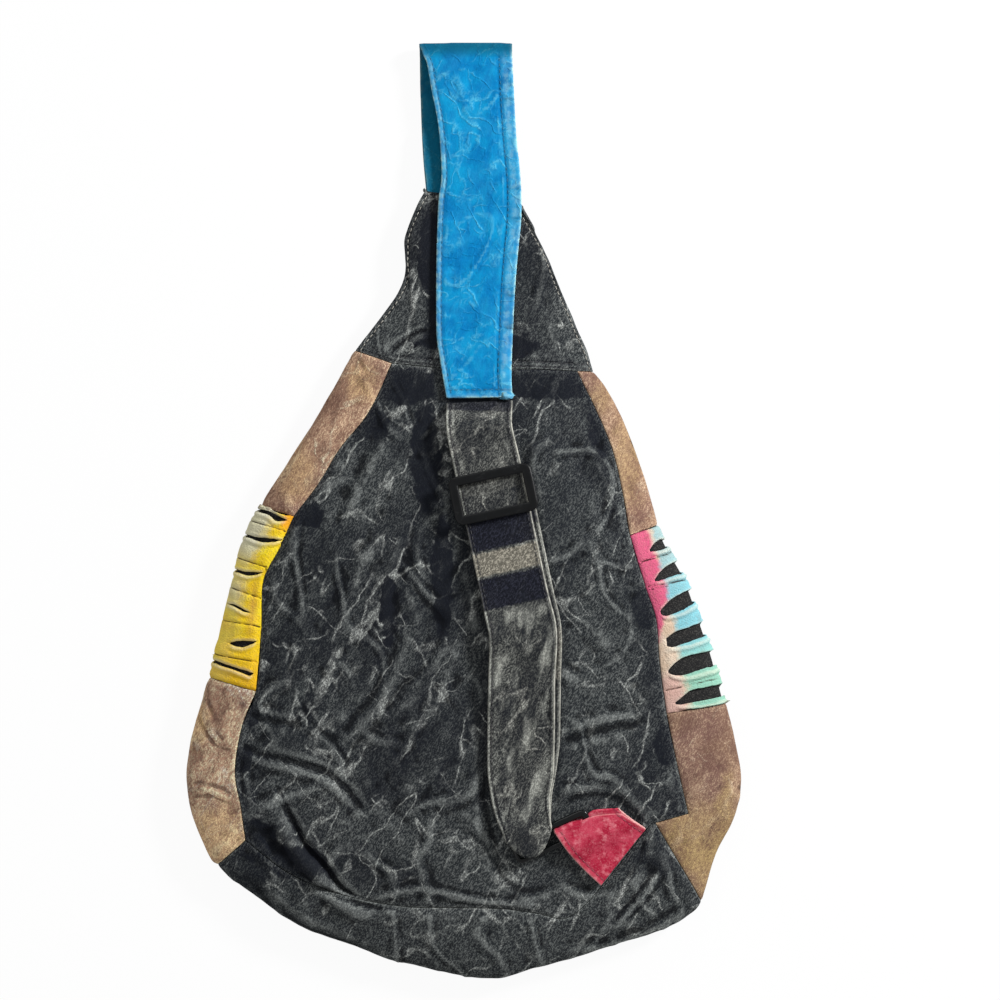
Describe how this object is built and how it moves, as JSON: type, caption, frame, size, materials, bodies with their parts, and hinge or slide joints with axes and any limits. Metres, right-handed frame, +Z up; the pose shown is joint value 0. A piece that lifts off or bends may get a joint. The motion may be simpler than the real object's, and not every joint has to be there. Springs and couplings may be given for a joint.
{
  "type": "sling backpack",
  "caption": "Patchwork cotton sling backpack lying on its front, teardrop body, folded shoulder strap with slide adjuster, slashed side inserts, front zipper",
  "frame": {"origin": "centre of the bounding box on the floor that the bag lies on", "axes": "+Z up out of the back panel, +Y from the bag's bottom towards the strap's fold, +X to the wearer's right as the picture shows it"},
  "size_m": [0.3327, 0.5623, 0.0395],
  "materials": {
    "charcoal_cotton": "stone-washed navy black cotton with pale crease veins",
    "brown_cotton": "acid-washed brown cotton",
    "yellow_cotton": "yellow and orange tie-dyed cotton",
    "pink_teal_cotton": "pink to teal tie-dyed cotton",
    "black_lining": "plain black cotton",
    "blue_cotton": "mottled azure cotton",
    "charcoal_strap": "stone-washed strap cotton with dark and pale blocks",
    "red_cotton": "mottled crimson cotton",
    "zipper_tape": "woven tape",
    "black_plastic": "satin black",
    "black_gloss_plastic": "glossy black",
    "zipper_teeth": "black moulded teeth",
    "zipper_metal": "plain metal"
  },
  "bodies": {
    "bag": {"back_panel": "charcoal_cotton", "back_yoke": "charcoal_cotton", "front_panel": "charcoal_cotton", "front_yoke": "charcoal_cotton", "bottom_panel": "charcoal_cotton", "left_gusset_upper": "brown_cotton", "left_slashed_insert": "yellow_cotton", "left_insert_backing": "black_lining", "left_gusset_lower": "brown_cotton", "right_gusset_upper": "brown_cotton", "right_slashed_insert": "pink_teal_cotton", "right_insert_backing": "black_lining", "right_gusset_lower": "brown_cotton", "shoulder_strap": "blue_cotton", "strap_webbing": "charcoal_strap", "anchor_tab": "red_cotton", "zipper_tape_upper": "zipper_tape", "zipper_tape_lower": "zipper_tape", "zipper_teeth_upper": "zipper_teeth", "zipper_teeth_lower": "zipper_teeth", "zipper_bottom_stop": "zipper_metal"},
    "adjuster": {"strap_adjuster": "black_plastic"},
    "ring": {"rectangular_ring": "black_gloss_plastic"},
    "zip_slider": {"zipper_slider": "zipper_metal"},
    "zip_pull": {"zipper_pull": "zipper_metal"}
  },
  "joints": [
    {"name": "adjuster_slide", "type": "slide", "parent": "bag", "child": "adjuster", "axis": [0.2069, -0.9768, 0.0545], "range_m": [-0.026, 0.07], "deforming": ["strap_webbing"]},
    {"name": "ring_swivel", "type": "hinge", "parent": "bag", "child": "ring", "pos_m": [0.0533, -0.2004, 0.03023], "axis": [0.9156, 0.402, 0.0043], "range_deg": [0, 25], "deforming": ["strap_webbing", "anchor_tab"]},
    {"name": "zip_slide", "type": "slide", "parent": "bag", "child": "zip_slider", "axis": [-1, 0, 0], "range_m": [0, 0.125], "deforming": ["zipper_teeth_upper", "zipper_teeth_lower"]},
    {"name": "pull_swing", "type": "hinge", "parent": "zip_slider", "child": "zip_pull", "pos_m": [0.06525, 0.032, 0.0051], "axis": [0, -1, 0], "range_deg": [0, 170]}
  ]
}
